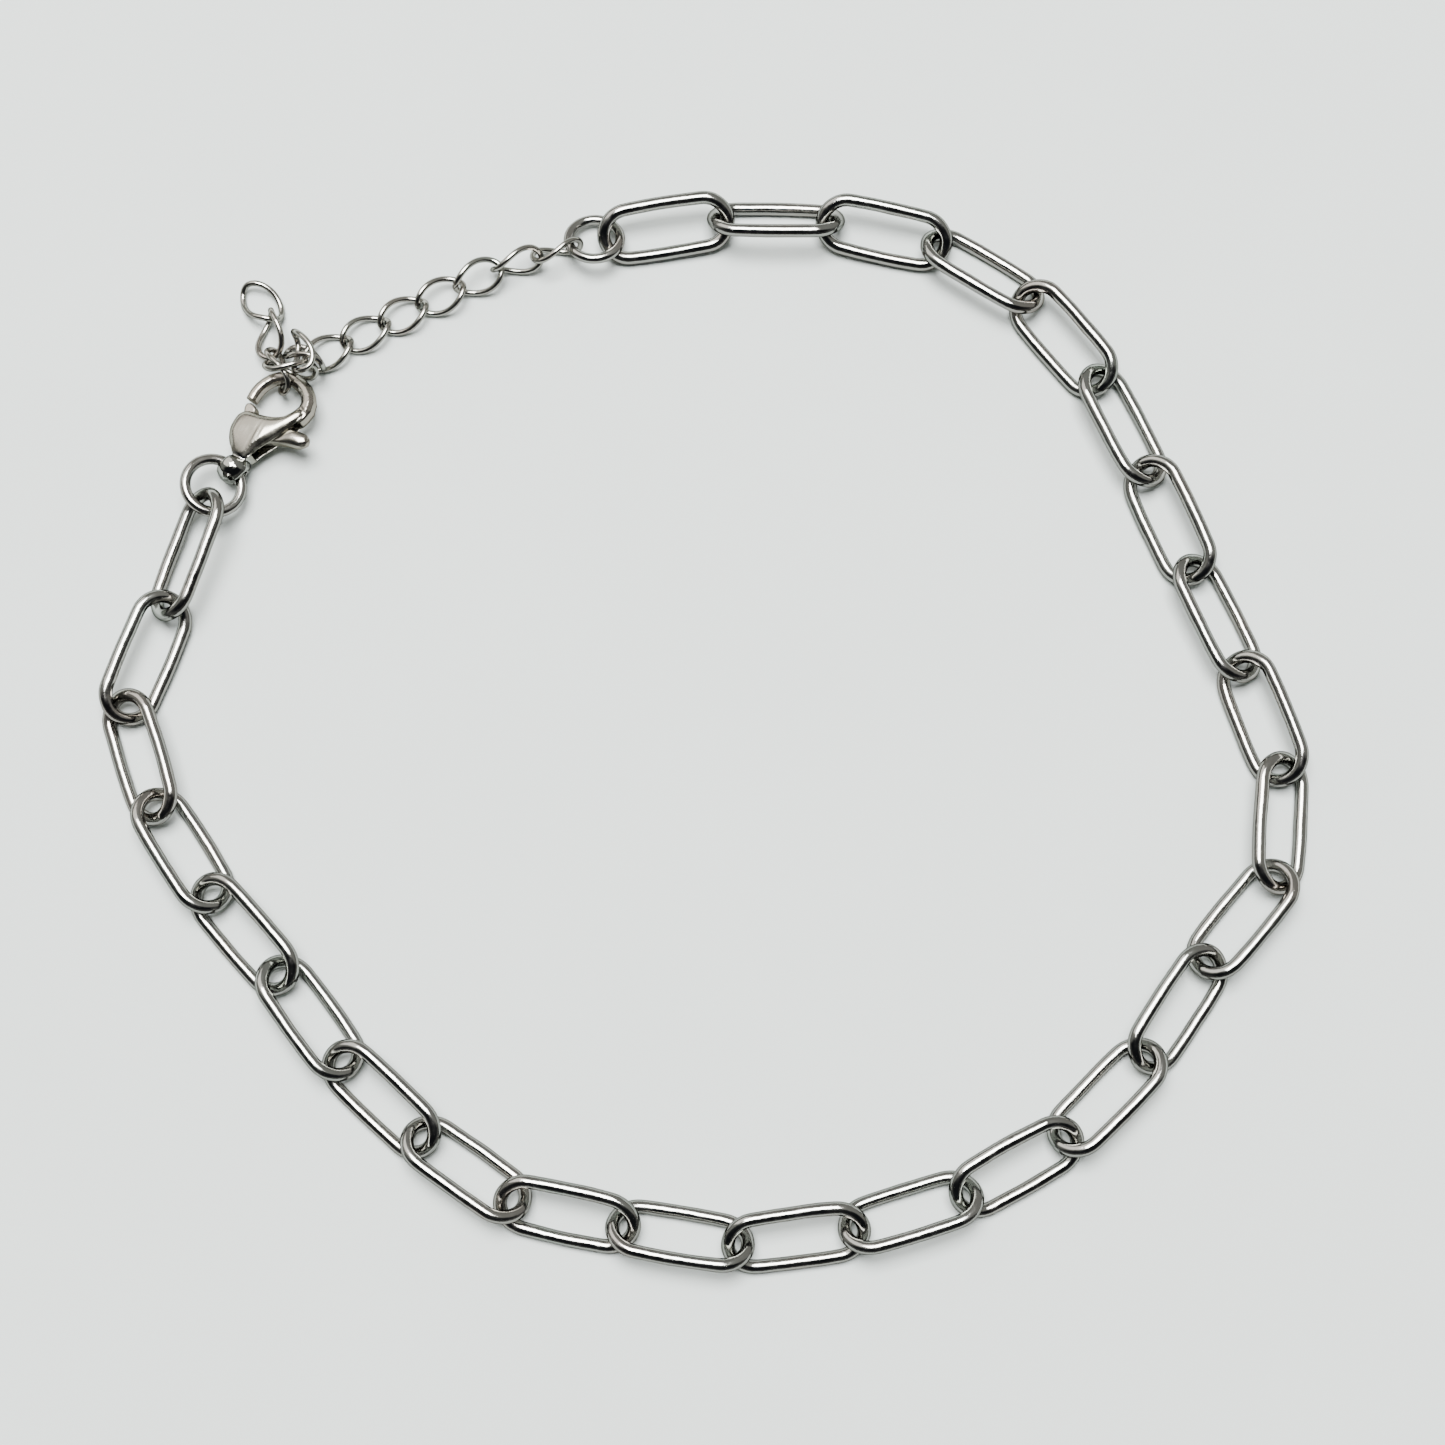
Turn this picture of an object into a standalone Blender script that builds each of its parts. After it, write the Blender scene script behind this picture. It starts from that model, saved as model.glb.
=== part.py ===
"""Chain anklet of polished steel, laid flat in a loop: paperclip links, a lobster clasp and an extender."""
import math

import bmesh
import bpy
import numpy as np
from mathutils import Matrix, Vector

MM = 0.001

# Paperclip links
LINK_WIRE = 1.1 * MM
LINK_LENGTH = 11.7 * MM
LINK_WIDTH = 5.1 * MM
LINK_PLAY = 0.55 * MM
LINK_ROLL = math.radians(30)
STEEP_ROLL = math.radians(41)
STEEP_LINKS = (2, 26)
LINK_END_STEPS = 7

# Jump rings
CLASP_RING_WIRE = 0.9 * MM
CLASP_RING_DIAMETER = 5.5 * MM
CLASP_RING_HEADING = math.radians(-132)
CLASP_RING_DROOP = math.radians(-12)
CLASP_RING_RISE = math.radians(14)
EXTENDER_RING_WIRE = 0.85 * MM
EXTENDER_RING_DIAMETER = 5.2 * MM
EXTENDER_RING_TILT = math.radians(-19)
RING_STEPS = 16
RING_CLEARANCE = 0.28 * MM
RING_PLAY = 0.6 * MM

# Extender, a fine curb chain whose links are twisted ovals
CURB_WIRE = 0.5 * MM
CURB_LENGTH = 4.7 * MM
CURB_WIDTH = 3.2 * MM
CURB_PLAY = 0.2 * MM
CURB_TWIST = math.radians(-80)
CURB_STEPS = 14

# Lobster clasp
CLASP_LENGTH = 10.4 * MM
CLASP_THICKNESS = 2.8 * MM
CLASP_ROUNDING = 0.5 * MM
CLASP_YAW = math.radians(60.6)
CLASP_ROLL = math.radians(12)
HOOK_WIRE = 1.1 * MM
HOOK_FLATTENING = 1.15
BALL_DIAMETER = 2.8 * MM
BALL_HOLE_DIAMETER = 1.5 * MM
BALL_MOUTH_DIAMETER = 2.4 * MM
BALL_MOUTH_REACH = 1.7 * MM
BALL_THROAT = 0.8 * MM
BALL_ROWS = 10
SLOT_WIDTH = 1.2 * MM
LEVER_ROUNDING = 0.15 * MM
PIN_DIAMETER = 0.7 * MM
PIN_SEAT_DEPTH = 0.4 * MM
PIN_SEAT_GAP = 0.02 * MM
MOVING_GAP = 0.1 * MM
ROUND_STEPS = 16

# Where each pair of paperclip links meets, in millimetres, from the extender's ring clockwise to the clasp's
LINK_JOINTS = [
    (-9.0, 41.9), (0.2, 43.3), (9.4, 43.1), (18.3, 41.1), (25.8, 36.2), (31.4, 29.0), (35.1, 20.9),
    (38.5, 12.5), (42.1, 4.2), (45.0, -4.3), (44.1, -13.0), (38.3, -19.9), (33.2, -27.3), (26.7, -33.7),
    (18.8, -38.1), (10.1, -40.8), (1.1, -42.0), (-7.8, -40.6), (-16.4, -38.8), (-23.5, -33.9),
    (-29.9, -28.1), (-35.1, -21.3), (-40.8, -15.0), (-45.5, -8.0), (-48.4, 0.1), (-45.4, 8.3), (-42.3, 17.0),
]
BALL_AT = (-40.3, 21.1)
# The straight run of the extender from beside the clasp's hook to its jump ring, in millimetres from the hook
CURB_ROUTE = [(1.7, 1.9), (4.7, 3.6), (10.9, 6.8), (17.3, 9.9), (24.3, 12.2)]
# How far each of its links is rolled over, in degrees, as the chain twists beside the ring
CURB_ROLLS = [0, 0, 5, 15, 40, 78, 112]
# Its loose end, heaped on the hook: each link's middle in curb lengths from the hook, then its heading, rise and
# roll in degrees. The fourth link goes round the hook.
HEAPED_LINKS = [
    (0.32, 0.42, 0.00, -35, 30, 120), (0.26, 0.42, 0.24, -70, 25, 235), (0.08, 0.14, 0.14, -5, -10, 95),
    (-0.14, 0.16, 0.00, 110, -10, 90), (-0.34, 0.86, -0.06, 90, 0, 135), (-0.54, 1.50, -0.18, 135, -5, 5),
]

# Clasp outlines as shares of its length, along it from the ball's centre and across it toward the hook's tip.
# The hook's points also say how many times its wire each is thick.
CHEEK_OUTLINE = [
    (0.085, -0.062), (0.20, -0.120), (0.37, -0.212), (0.52, -0.275), (0.62, -0.303), (0.655, -0.265),
    (0.60, -0.205), (0.545, -0.165), (0.500, -0.080), (0.475, 0.020), (0.462, 0.120), (0.425, 0.175),
    (0.34, 0.195), (0.23, 0.170), (0.14, 0.105), (0.085, 0.060),
]
HOOK_LINE = [
    (0.565, -0.245, 1.45), (0.68, -0.280, 1.30), (0.785, -0.230, 1.15), (0.850, -0.120, 1.08),
    (0.862, -0.005, 1.05), (0.820, 0.095, 1.0), (0.735, 0.163, 1.0), (0.640, 0.190, 1.0), (0.560, 0.188, 0.95),
]
SLOT_OUTLINE = [
    (0.150, -0.60), (0.150, -0.040), (0.205, 0.080), (0.300, 0.125), (0.365, 0.150), (0.395, 0.30),
    (0.525, 0.30), (0.525, -0.150), (0.555, -0.300), (0.555, -0.60),
]
LEVER_OUTLINE = [
    (0.520, 0.110), (0.522, 0.190), (0.470, 0.190), (0.400, 0.140), (0.300, 0.112), (0.225, 0.060),
    (0.220, -0.020), (0.265, -0.090), (0.325, -0.190), (0.352, -0.290), (0.378, -0.400), (0.435, -0.450),
    (0.490, -0.425), (0.500, -0.345), (0.485, -0.220), (0.460, -0.090), (0.450, 0.020), (0.475, 0.075),
]
PIN_AT = (0.288, 0.040)
HOOK_AT = (0.85, 0.03)
NECK_END = 0.25
NECK_THICKNESS = 0.62

model = bpy.data.collections.new("chain_anklet")
cutters = bpy.data.collections.new("cutters")


def steel(name, shade, roughness):
    """Return a polished steel material of one shade."""
    material = bpy.data.materials.new(name)
    material.use_nodes = True
    shader = material.node_tree.nodes["Principled BSDF"]
    shader.inputs["Base Color"].default_value = (shade, shade * 0.985, shade * 0.96, 1)
    shader.inputs["Metallic"].default_value = 1
    shader.inputs["Roughness"].default_value = roughness
    return material


def add_object(name, data, collection, parent=None):
    """Put mesh or curve data into the scene under a plain name."""
    item = bpy.data.objects.new(name, data)
    collection.objects.link(item)
    item.parent = parent
    return item


def add_empty(name):
    """Return an empty that places the pieces parented to it."""
    return add_object(name, None, cutters)


def wire_loop(name, points, wire, tilt, material):
    """Return a closed six-sided wire through the given points as curve data, its sides turned by the tilt."""
    curve = bpy.data.curves.new(name, "CURVE")
    curve.dimensions = "3D"
    curve.twist_mode = "MINIMUM"
    curve.bevel_depth = wire / 2
    curve.bevel_resolution = 1
    spline = curve.splines.new("POLY")
    spline.points.add(len(points) - 1)
    for point, place in zip(spline.points, points):
        point.co = (*place, 1)
        point.tilt = tilt
    spline.use_cyclic_u = True
    curve.materials.append(material)
    return curve


def paperclip_points():
    """Return the wire's centreline for a straight-sided link with half-round ends."""
    radius = (LINK_WIDTH - LINK_WIRE) / 2
    reach = (LINK_LENGTH - LINK_WIDTH) / 2
    points = []
    for end in (1, -1):
        for step in range(LINK_END_STEPS + 1):
            angle = math.pi * step / LINK_END_STEPS - math.pi / 2
            points.append((end * (reach + radius * math.cos(angle)), end * radius * math.sin(angle), 0))
    return points


def curb_points():
    """Return the wire's centreline for an oval link twisted along its length."""
    reach = (CURB_LENGTH - CURB_WIRE) / 2
    side = (CURB_WIDTH - CURB_WIRE) / 2
    points = []
    for step in range(CURB_STEPS):
        angle = math.tau * (step + 0.5) / CURB_STEPS
        turn = CURB_TWIST / 2 * math.cos(angle)
        across = side * math.sin(angle)
        points.append((reach * math.cos(angle), across * math.cos(turn), across * math.sin(turn)))
    return points


def resting_height(roll):
    """Return how high a curb link's middle lies when it is rolled over and rests on the table."""
    turned = np.array(curb_points()) @ np.array(Matrix.Rotation(roll, 3, "X")).T
    return CURB_WIRE / 2 - turned[:, 2].min()


def scaled_route(joints, pitch, start, end):
    """Return the joints spread to the pitch, with both ends of the route held where the given points are."""
    route = np.array(joints) * MM
    steps = np.linalg.norm(np.diff(route, axis=0), axis=1)
    route *= pitch / steps.mean()
    share = np.linspace(0, 1, len(route))[:, None]
    return route + (1 - share) * (np.array(start) - route[0]) + share * (np.array(end) - route[-1])


def even_route(points, origin, count, pitch):
    """Return evenly spaced meeting points for so many links along a route that keeps its first point."""
    route = np.array(points) * MM + np.array(origin)
    lengths = np.linalg.norm(np.diff(route, axis=0), axis=1)
    along = np.concatenate([[0], np.cumsum(lengths)])
    places = np.linspace(0, along[-1], count + 1)
    joints = np.stack([np.interp(places, along, route[:, axis]) for axis in (0, 1)], axis=1)
    steps = np.linalg.norm(np.diff(joints, axis=0), axis=1)
    return joints[0] + (joints - joints[0]) * pitch / steps.mean()


def heading(start, end):
    """Return the angle from +X of the way from one point to the next."""
    return math.atan2(end[1] - start[1], end[0] - start[0])


def add_ring(name, wire, diameter, place, material):
    """Add a round jump ring lying as its matrix places it."""
    bpy.ops.mesh.primitive_torus_add(
        major_segments=RING_STEPS, minor_segments=6, major_radius=(diameter - wire) / 2, minor_radius=wire / 2)
    ring = bpy.context.object
    ring.name = name
    ring.data.name = name
    ring.data.materials.append(material)
    ring.data.shade_smooth()
    bpy.context.collection.objects.unlink(ring)
    model.objects.link(ring)
    ring.parent = anklet
    ring.matrix_local = place
    return ring


def mesh_from_curve(curve):
    """Turn curve data into a welded mesh."""
    holder = add_object(curve.name, curve, cutters)
    bpy.context.view_layer.update()
    mesh = bpy.data.meshes.new_from_object(holder.evaluated_get(bpy.context.evaluated_depsgraph_get()))
    bpy.data.objects.remove(holder)
    bpy.data.curves.remove(curve)
    work = bmesh.new()
    work.from_mesh(mesh)
    bmesh.ops.remove_doubles(work, verts=work.verts, dist=0.001 * MM)
    bmesh.ops.recalc_face_normals(work, faces=work.faces)
    work.to_mesh(mesh)
    work.free()
    return mesh


def plate_mesh(name, outline, half_height, rounding):
    """Return a flat plate with rounded edges, its outline given in shares of the clasp's length."""
    curve = bpy.data.curves.new(name, "CURVE")
    curve.dimensions = "2D"
    curve.fill_mode = "BOTH"
    curve.resolution_u = 3
    curve.extrude = half_height - rounding
    curve.bevel_depth = rounding
    curve.bevel_resolution = 1
    curve.offset = -rounding
    spline = curve.splines.new("BEZIER")
    spline.bezier_points.add(len(outline) - 1)
    for point, place in zip(spline.bezier_points, outline):
        point.co = (place[0] * CLASP_LENGTH, place[1] * CLASP_LENGTH, 0)
        point.handle_left_type = "AUTO"
        point.handle_right_type = "AUTO"
    spline.use_cyclic_u = True
    return mesh_from_curve(curve)


def slab_mesh(name, outline, half_height):
    """Return a sharp-edged slab of an outline given in shares of the clasp's length."""
    curve = bpy.data.curves.new(name, "CURVE")
    curve.dimensions = "2D"
    curve.fill_mode = "BOTH"
    curve.extrude = half_height
    spline = curve.splines.new("POLY")
    spline.points.add(len(outline) - 1)
    for point, place in zip(spline.points, outline):
        point.co = (place[0] * CLASP_LENGTH, place[1] * CLASP_LENGTH, 0, 1)
    spline.use_cyclic_u = True
    return mesh_from_curve(curve)


def hook_mesh():
    """Return the hook as a thick wire that grows toward its root and is a little deeper than wide."""
    curve = bpy.data.curves.new("hook", "CURVE")
    curve.dimensions = "3D"
    curve.resolution_u = 2
    curve.bevel_depth = HOOK_WIRE / 2
    curve.bevel_resolution = 3
    curve.use_fill_caps = True
    spline = curve.splines.new("BEZIER")
    spline.bezier_points.add(len(HOOK_LINE) - 1)
    for point, (along, across, growth) in zip(spline.bezier_points, HOOK_LINE):
        point.co = (along * CLASP_LENGTH, across * CLASP_LENGTH, 0)
        point.radius = growth
        point.handle_left_type = "AUTO"
        point.handle_right_type = "AUTO"
    mesh = mesh_from_curve(curve)
    for vertex in mesh.vertices:
        vertex.co.z *= HOOK_FLATTENING
    return mesh


def add_cutter(name, mesh):
    """Add a hidden object that joins or cuts the clasp."""
    item = add_object(name, mesh, cutters, clasp)
    item.hide_render = True
    item.display_type = "WIRE"
    return item


def add_boolean(item, other, operation):
    """Join another solid to an object, or cut it away."""
    modifier = item.modifiers.new(other.name, "BOOLEAN")
    modifier.operation = operation
    modifier.solver = "EXACT"
    modifier.object = other


def cylinder_mesh(name, diameter, height):
    """Return a plain cylinder's mesh with its middle at the origin."""
    work = bmesh.new()
    bmesh.ops.create_cone(
        work, cap_ends=True, segments=ROUND_STEPS, radius1=diameter / 2, radius2=diameter / 2, depth=height)
    mesh = bpy.data.meshes.new(name)
    work.to_mesh(mesh)
    work.free()
    return mesh


def ball_mesh():
    """Return the ball that the clasp's jump ring passes through."""
    work = bmesh.new()
    bmesh.ops.create_uvsphere(work, u_segments=ROUND_STEPS, v_segments=BALL_ROWS, radius=BALL_DIAMETER / 2)
    mesh = bpy.data.meshes.new("ball")
    work.to_mesh(mesh)
    work.free()
    return mesh


def ball_hole():
    """Return the cutter for the ball's hole, which follows the ring through it and widens to both mouths."""
    profile = [
        (0, BALL_MOUTH_REACH), (BALL_MOUTH_DIAMETER / 2, BALL_MOUTH_REACH),
        (BALL_HOLE_DIAMETER / 2, BALL_THROAT / 2), (BALL_HOLE_DIAMETER / 2, -BALL_THROAT / 2),
        (BALL_MOUTH_DIAMETER / 2, -BALL_MOUTH_REACH), (0, -BALL_MOUTH_REACH),
    ]
    mesh = bpy.data.meshes.new("ball_hole")
    mesh.from_pydata([(x, 0, z) for x, z in profile], [(k, k + 1) for k in range(len(profile) - 1)], [])
    cutter = add_cutter("ball_hole", mesh)
    cutter.matrix_local = clasp_turn.inverted() @ ring_turn @ Matrix.Rotation(math.pi / 2, 4, "X")
    turn = cutter.modifiers.new("turn", "SCREW")
    turn.steps = ROUND_STEPS
    turn.render_steps = ROUND_STEPS
    turn.use_merge_vertices = True
    turn.merge_threshold = 0.001 * MM
    return cutter


def add_clasp_body(material):
    """Add the clasp's body: two cheeks with a slot between them, the hook, and the ball at its foot."""
    mesh = plate_mesh("clasp_body", CHEEK_OUTLINE, CLASP_THICKNESS / 2, CLASP_ROUNDING)
    for vertex in mesh.vertices:
        toward_cheeks = min(1, max(0, vertex.co.x / (NECK_END * CLASP_LENGTH)))
        vertex.co.z *= NECK_THICKNESS + (1 - NECK_THICKNESS) * toward_cheeks
    mesh.materials.append(material)
    body = add_object("clasp_body", mesh, model, clasp)
    add_boolean(body, add_cutter("hook", hook_mesh()), "UNION")
    add_boolean(body, add_cutter("ball", ball_mesh()), "UNION")
    add_boolean(body, add_cutter("slot", slab_mesh("slot", SLOT_OUTLINE, SLOT_WIDTH / 2)), "DIFFERENCE")
    add_boolean(body, ball_hole(), "DIFFERENCE")
    seat_height = SLOT_WIDTH + 2 * PIN_SEAT_DEPTH
    seat = add_cutter("pin_seat", cylinder_mesh("pin_seat", PIN_DIAMETER + 2 * PIN_SEAT_GAP, seat_height))
    seat.location = pin_place
    add_boolean(body, seat, "DIFFERENCE")
    return body


def add_clasp_pin(material):
    """Add the pin that the lever turns on, seated in both cheeks."""
    height = SLOT_WIDTH + 2 * (PIN_SEAT_DEPTH - PIN_SEAT_GAP)
    mesh = cylinder_mesh("clasp_pin", PIN_DIAMETER, height)
    mesh.materials.append(material)
    pin = add_object("clasp_pin", mesh, model, clasp)
    pin.location = pin_place
    return pin


def add_clasp_lever(material):
    """Add the lever: the gate that closes the hook, its eye on the pin, and the thumb tab."""
    outline = [(along - PIN_AT[0], across - PIN_AT[1]) for along, across in LEVER_OUTLINE]
    mesh = plate_mesh("clasp_lever", outline, SLOT_WIDTH / 2 - MOVING_GAP, LEVER_ROUNDING)
    mesh.materials.append(material)
    lever = add_object("clasp_lever", mesh, model, clasp)
    lever.location = pin_place
    eye = add_cutter("lever_eye", cylinder_mesh("lever_eye", PIN_DIAMETER + 2 * MOVING_GAP, SLOT_WIDTH * 2))
    eye.location = pin_place
    add_boolean(lever, eye, "DIFFERENCE")
    return lever


def corners(items):
    """Return the lowest and highest corner of the box round some pieces."""
    bpy.context.view_layer.update()
    graph = bpy.context.evaluated_depsgraph_get()
    points = []
    for item in items:
        piece = item.evaluated_get(graph)
        shape = piece.to_mesh()
        points += [piece.matrix_world @ vertex.co for vertex in shape.vertices]
        piece.to_mesh_clear()
    points = np.array(points)
    return Vector(points.min(axis=0)), Vector(points.max(axis=0))


def link_height(roll):
    """Return how high a paperclip link's middle lies when its rolled lower side rests on the table."""
    flat_side = LINK_WIRE / 2 * math.cos(math.pi / 6)
    return flat_side + (LINK_WIDTH - LINK_WIRE) / 2 * math.sin(abs(roll))


def ring_joint(centre, diameter, wire, toward):
    """Return where a paperclip link meets a jump ring, on the side that faces the next joint."""
    way = (toward - centre.xy).normalized()
    inside = wire / 2 + LINK_WIRE / 2 + RING_PLAY
    overlap = (LINK_WIRE + LINK_PLAY) / 2
    return centre.xy + way * ((diameter - wire) / 2 - inside + overlap)


def add_link(name, curve, start, end, roll):
    """Add a link between two meeting points, rolled over about its length."""
    link = add_object(name, curve, model, anklet)
    along = end - start
    turn = along.to_track_quat("X", "Z").to_matrix().to_4x4() @ Matrix.Rotation(roll, 4, "X")
    link.matrix_local = Matrix.Translation((start + end) / 2) @ turn
    return link


for item in list(bpy.data.objects):
    bpy.data.objects.remove(item)
bpy.context.scene.collection.children.link(model)
bpy.context.scene.collection.children.link(cutters)
chain_steel = steel("chain_steel", 0.62, 0.12)
clasp_steel = steel("clasp_steel", 0.60, 0.16)
anklet = add_empty("anklet")
clasp = add_empty("clasp")
clasp.parent = anklet

# The clasp, lowered until it lies on the table
pin_place = Vector((PIN_AT[0] * CLASP_LENGTH, PIN_AT[1] * CLASP_LENGTH, 0))
clasp_turn = Matrix.Rotation(CLASP_YAW, 4, "Z") @ Matrix.Rotation(-CLASP_ROLL, 4, "X")
ring_turn = (Matrix.Rotation(CLASP_RING_HEADING, 4, "Z") @ Matrix.Rotation(-CLASP_RING_RISE, 4, "Y")
             @ Matrix.Rotation(CLASP_RING_DROOP, 4, "X"))
body = add_clasp_body(clasp_steel)
lever = add_clasp_lever(clasp_steel)
pin = add_clasp_pin(clasp_steel)
clasp.matrix_local = clasp_turn
clasp_height = -corners([body, lever, pin])[0].z
ball = Vector((BALL_AT[0] * MM, BALL_AT[1] * MM, clasp_height))
clasp.matrix_local = Matrix.Translation(ball) @ clasp_turn

hook = ball + (clasp_turn @ Vector((HOOK_AT[0], HOOK_AT[1], 0))) * CLASP_LENGTH

# The extender, spread evenly from the hook to its jump ring
curb = wire_loop("curb_link", curb_points(), CURB_WIRE, 0, chain_steel)
curb_pitch = CURB_LENGTH - 2 * CURB_WIRE - CURB_PLAY
curb_joints = even_route(CURB_ROUTE, hook.xy, len(CURB_ROLLS), curb_pitch)
rests = [resting_height(math.radians(roll)) for roll in CURB_ROLLS]
heights = [max(pair) for pair in zip([rests[0]] + rests, rests + [rests[-1]])]
curb_joints = [Vector((*joint, height)) for joint, height in zip(curb_joints, heights)]
for number, (start, end) in enumerate(zip(curb_joints, curb_joints[1:])):
    name = f"extender_{len(CURB_ROLLS) - number:02d}"
    add_link(name, curb, start, end, math.radians(CURB_ROLLS[number]))
for number, pose in enumerate(HEAPED_LINKS, len(CURB_ROLLS) + 1):
    middle = hook + Vector(pose[:3]) * CURB_LENGTH
    facing, rise, roll = (math.radians(angle) for angle in pose[3:])
    half = Matrix.Rotation(facing, 3, "Z") @ Vector((math.cos(rise), 0, math.sin(rise))) * (curb_pitch / 2)
    add_link(f"extender_{number:02d}", curb, middle - half, middle + half, roll)

# The extender's jump ring, as high as what it holds
away = heading(curb_joints[-2], curb_joints[-1])
ring_radius = (EXTENDER_RING_DIAMETER - EXTENDER_RING_WIRE) / 2
curb_overlap = (CURB_LENGTH - CURB_WIRE - curb_pitch) / 2
curb_reach = EXTENDER_RING_WIRE / 2 + CURB_WIRE / 2 + RING_CLEARANCE - curb_overlap
centre = curb_joints[-1] + Matrix.Rotation(away, 3, "Z") @ Vector((ring_radius - curb_reach, 0, 0))
centre.z = (curb_joints[-1].z + link_height(LINK_ROLL)) / 2
place = Matrix.Translation(centre) @ Matrix.Rotation(EXTENDER_RING_TILT, 4, "X")
add_ring("jump_ring_extender", EXTENDER_RING_WIRE, EXTENDER_RING_DIAMETER, place, chain_steel)
first_joint = ring_joint(centre, EXTENDER_RING_DIAMETER, EXTENDER_RING_WIRE, Vector(LINK_JOINTS[1]) * MM)

# The clasp's jump ring, through the ball's hole
ring_radius = (CLASP_RING_DIAMETER - CLASP_RING_WIRE) / 2
place = Matrix.Translation(ball) @ ring_turn @ Matrix.Translation((ring_radius, 0, 0))
add_ring("jump_ring_clasp", CLASP_RING_WIRE, CLASP_RING_DIAMETER, place, chain_steel)
last_joint = ring_joint(place.translation, CLASP_RING_DIAMETER, CLASP_RING_WIRE, Vector(LINK_JOINTS[-1]) * MM)
last_height = place.translation.z + ring_radius * math.sin(CLASP_RING_RISE)

# The paperclip links, rolled one way and then the other, each with its lower side on the table
joints = scaled_route(LINK_JOINTS, LINK_LENGTH - 2 * LINK_WIRE - LINK_PLAY, first_joint, last_joint)
rolls = [STEEP_ROLL if number in STEEP_LINKS else LINK_ROLL for number in range(1, len(joints))]
rolls = [roll if number % 2 else -roll for number, roll in enumerate(rolls, 1)]
heights = [link_height(roll) for roll in rolls]
heights = [max(pair) for pair in zip([heights[0]] + heights, heights + [last_height])]
joints = [Vector((*joint, height)) for joint, height in zip(joints, heights)]
paperclips = {roll: wire_loop("paperclip_link", paperclip_points(), LINK_WIRE, roll, chain_steel) for roll in rolls}
for number, (roll, start, end) in enumerate(zip(rolls, joints, joints[1:]), 1):
    add_link(f"link_{number:02d}", paperclips[roll], start, end, roll)

# The middle of the whole piece goes to the origin
low, high = corners(model.objects)
anklet.location = (-(low.x + high.x) / 2, -(low.y + high.y) / 2, -low.z)
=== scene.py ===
# %% [markdown]
# # A polished steel chain anklet
# The anklet lies in a loop on a pale table: paperclip links, a fine curb extender, two jump rings and a
# lobster clasp. The imported solids already hold every piece at its place, so this lesson only dresses them.
# It first loads that frame.

# %% Load the frame
import math

import bmesh
import bpy
import numpy as np
from mathutils import Matrix, Vector


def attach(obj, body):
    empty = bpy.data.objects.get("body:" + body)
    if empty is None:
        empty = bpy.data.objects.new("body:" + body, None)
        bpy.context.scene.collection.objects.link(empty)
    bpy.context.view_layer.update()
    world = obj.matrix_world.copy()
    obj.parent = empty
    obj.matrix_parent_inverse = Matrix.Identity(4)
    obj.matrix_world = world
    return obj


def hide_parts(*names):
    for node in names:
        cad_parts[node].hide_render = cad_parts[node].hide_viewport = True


MM = 0.001

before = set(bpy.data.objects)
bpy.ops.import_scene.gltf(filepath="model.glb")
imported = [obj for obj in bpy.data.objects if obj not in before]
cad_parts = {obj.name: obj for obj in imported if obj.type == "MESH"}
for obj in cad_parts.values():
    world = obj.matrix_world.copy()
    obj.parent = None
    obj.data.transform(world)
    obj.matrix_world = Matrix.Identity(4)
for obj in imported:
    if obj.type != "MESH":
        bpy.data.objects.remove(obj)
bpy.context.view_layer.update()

# %% [markdown]
# The camera stands almost above the loop and leans back a little, as a phone does when its owner keeps
# their own shadow off the table. A long-ish lens keeps the near and far links nearly the same size.

# %% Camera
CAMERA_PLACE = Vector((1.52, -48.6, 205.8)) * MM
CAMERA_AIM = Vector((1.52, -0.69, 0)) * MM
SENSOR_WIDTH = 36.0
LENS = 64.8
CLIP_START = 0.01

camera = bpy.data.objects.new("camera", bpy.data.cameras.new("camera"))
bpy.context.scene.collection.objects.link(camera)
camera.location = CAMERA_PLACE
camera.rotation_euler = (CAMERA_AIM - CAMERA_PLACE).to_track_quat("-Z", "Y").to_euler()
camera.data.sensor_width = SENSOR_WIDTH
camera.data.lens = LENS
camera.data.clip_start = CLIP_START
bpy.context.scene.camera = camera
lean = math.atan2(CAMERA_AIM.y - CAMERA_PLACE.y, CAMERA_PLACE.z)
print("camera leans", round(math.degrees(lean), 1), "degrees")

# %% [markdown]
# ## Light
# Materials, the room and the links are all node trees here. Building a tree in Blender's editor is a matter
# of adding a node, filling in its sockets and drawing links, and the helper does those three in one call.

# %% Small helpers for node trees
def add_node(tree, kind, values=None, **settings):
    """Add a node, set its properties, and link or set its inputs by name or number."""
    node = tree.nodes.new(kind)
    for key, value in settings.items():
        setattr(node, key, value)
    for key, value in (values or {}).items():
        socket = node.inputs[key]
        if isinstance(value, bpy.types.NodeSocket):
            tree.links.new(value, socket)
        else:
            socket.default_value = value
    return node


def math_node(tree, operation, *values):
    """Return the output of a Math node."""
    return add_node(tree, "ShaderNodeMath", dict(enumerate(values)), operation=operation).outputs[0]


def vector_node(tree, operation, *values):
    """Return the vector output of a Vector Math node."""
    return add_node(tree, "ShaderNodeVectorMath", dict(enumerate(values)), operation=operation).outputs[0]


def mixed(tree, share, first, second):
    """Return the colour between two colours, the first where the share is 0 and the second where it is 1."""
    sockets = {"Factor": share, 6: first, 7: second}
    return add_node(tree, "ShaderNodeMix", sockets, data_type="RGBA").outputs[2]


# %% [markdown]
# Polished steel has next to no colour of its own, so the room makes the picture. A photographed room could
# light it, but a few shades of grey are easier to steer. The sky is a middling grey that goes dark on the
# viewer's side, where somebody stands in a real room, and that dark side makes the black bands on the wires.
# Low down a little light stays on that side too, so that the steel isn't black in a view from the side.

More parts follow.
